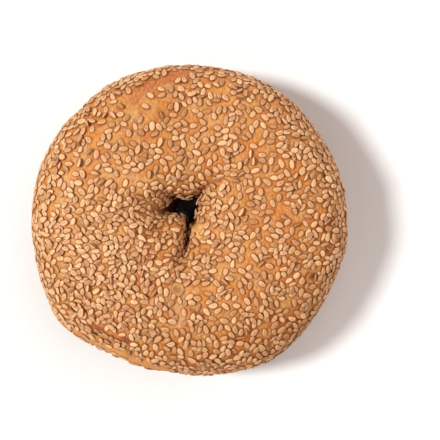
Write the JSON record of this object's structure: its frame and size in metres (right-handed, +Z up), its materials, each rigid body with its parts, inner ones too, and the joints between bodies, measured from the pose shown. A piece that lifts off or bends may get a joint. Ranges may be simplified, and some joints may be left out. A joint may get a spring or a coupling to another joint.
{
  "type": "sesame bagel",
  "caption": "Whole baked bagel: a thick domed ring of dough with a small pinched hole, a flat underside and a crust strewn with sesame seeds.",
  "frame": {"origin": "centre of the bounding box at the flat underside, on the surface the bagel lies on", "axes": "+Z up through the hole, seeded side up; the seam of the dough roll runs from the hole towards -Y"},
  "size_m": [0.1134, 0.1114, 0.042],
  "materials": {
    "crust": "baked golden brown crust, satin with a faint egg-shell gloss, finely wrinkled and browner in the creases",
    "sesame": "hulled sesame seeds, toasted cream to light brown, satin"
  },
  "bodies": {
    "root": {"bagel": "crust"}
  },
  "joints": []
}
